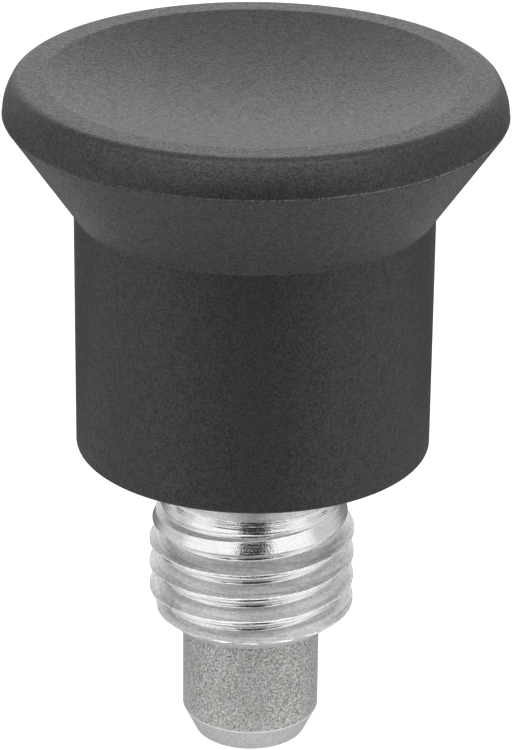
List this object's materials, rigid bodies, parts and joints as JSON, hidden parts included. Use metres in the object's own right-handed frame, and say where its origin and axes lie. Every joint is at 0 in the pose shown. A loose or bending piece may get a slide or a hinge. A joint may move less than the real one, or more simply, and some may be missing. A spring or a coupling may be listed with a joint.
{
  "type": "indexing plunger",
  "caption": "Indexing plunger with a black mushroom knob, a threaded steel sleeve and a spring-loaded locking pin.",
  "frame": {"origin": "on the plunger's axis, in the plane of the collar's underside, where the sleeve seats on the panel", "axes": "+Z along the plunger's axis, from the locking pin towards the knob; +X towards a corner of the collar's hexagon"},
  "size_m": [0.0282, 0.028, 0.0407],
  "materials": {
    "black_plastic": "matte, fine moulded grain",
    "zinc_plated_steel": "bright zinc plated, turned",
    "tumbled_steel": "ground and tumbled, matte",
    "spring_steel": "drawn stainless wire"
  },
  "bodies": {
    "sleeve": {"threaded_sleeve": "zinc_plated_steel"},
    "spring": {"compression_spring": "spring_steel"},
    "plunger": {"index_pin": "tumbled_steel", "knob": "black_plastic"}
  },
  "joints": [
    {"name": "knob_turn", "type": "hinge", "parent": "sleeve", "child": "spring", "pos_m": [0, 0, 0], "axis": [0, 0, 1], "continuous": true},
    {"name": "plunger_pull", "type": "slide", "parent": "spring", "child": "plunger", "axis": [0, 0, 1], "range_m": [0, 0.0076], "stiffness_N_per_m": 1950, "springref_m": -0.005, "deforming": ["compression_spring"]}
  ]
}
